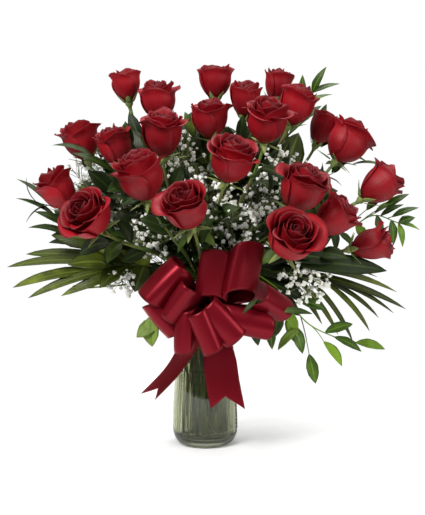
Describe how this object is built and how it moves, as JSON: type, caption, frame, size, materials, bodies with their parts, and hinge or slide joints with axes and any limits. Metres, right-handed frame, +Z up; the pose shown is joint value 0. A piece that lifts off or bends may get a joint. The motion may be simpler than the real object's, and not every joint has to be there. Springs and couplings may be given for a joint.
{
  "type": "roses in a glass vase with a bow",
  "caption": "Long-stemmed red roses with mixed greenery and baby's breath, standing in water in a tapering clear glass vase tied with a wide satin bow.",
  "frame": {"origin": "centre of the vase's underside, which stands on the table", "axes": "+Z up along the vase, -Y the front where the bow is tied, +X to the right seen from the front"},
  "size_m": [0.5621, 0.2861, 0.5146],
  "materials": {
    "glass": "clear pressed glass, slightly grey-green",
    "water": "clear still water",
    "petal": "soft velvety deep red petals",
    "stem": "smooth green cut stem",
    "leaf": "waxy green leaf",
    "blossom": "tiny matt white blossoms on fine twigs",
    "ribbon": "deep red satin"
  },
  "bodies": {
    "root": {"rose_01_bloom": "petal", "rose_01_stem": "stem", "rose_02_bloom": "petal", "rose_02_stem": "stem", "rose_03_bloom": "petal", "rose_03_stem": "stem", "rose_04_bloom": "petal", "rose_04_stem": "stem", "rose_05_bloom": "petal", "rose_05_stem": "stem", "rose_06_bloom": "petal", "rose_06_stem": "stem", "rose_07_bloom": "petal", "rose_07_stem": "stem", "rose_08_bloom": "petal", "rose_08_stem": "stem", "rose_09_bloom": "petal", "rose_09_stem": "stem", "rose_10_bloom": "petal", "rose_10_stem": "stem", "rose_11_bloom": "petal", "rose_11_stem": "stem", "rose_12_bloom": "petal", "rose_12_stem": "stem", "rose_13_bloom": "petal", "rose_13_stem": "stem", "rose_14_bloom": "petal", "rose_14_stem": "stem", "rose_15_bloom": "petal", "rose_15_stem": "stem", "rose_16_bloom": "petal", "rose_16_stem": "stem", "rose_17_bloom": "petal", "rose_17_stem": "stem", "rose_18_bloom": "petal", "rose_18_stem": "stem", "rose_19_bloom": "petal", "rose_19_stem": "stem", "rose_20_bloom": "petal", "rose_20_stem": "stem", "rose_21_bloom": "petal", "rose_21_stem": "stem", "rose_22_bloom": "petal", "rose_22_stem": "stem", "rose_23_bloom": "petal", "rose_23_stem": "stem", "palm_left": "leaf", "lemon_leaf_left": "leaf", "ruscus_top_right": "leaf", "ruscus_far_right": "leaf", "palm_right": "leaf", "ruscus_low_right": "leaf", "gypsophila_left": "blossom", "gypsophila_right": "blossom", "ribbon_bow": "ribbon", "ribbon_neck_band": "ribbon", "ribbon_tail_left": "ribbon", "ribbon_tail_right": "ribbon", "vase": "glass", "water": "water"}
  },
  "joints": []
}
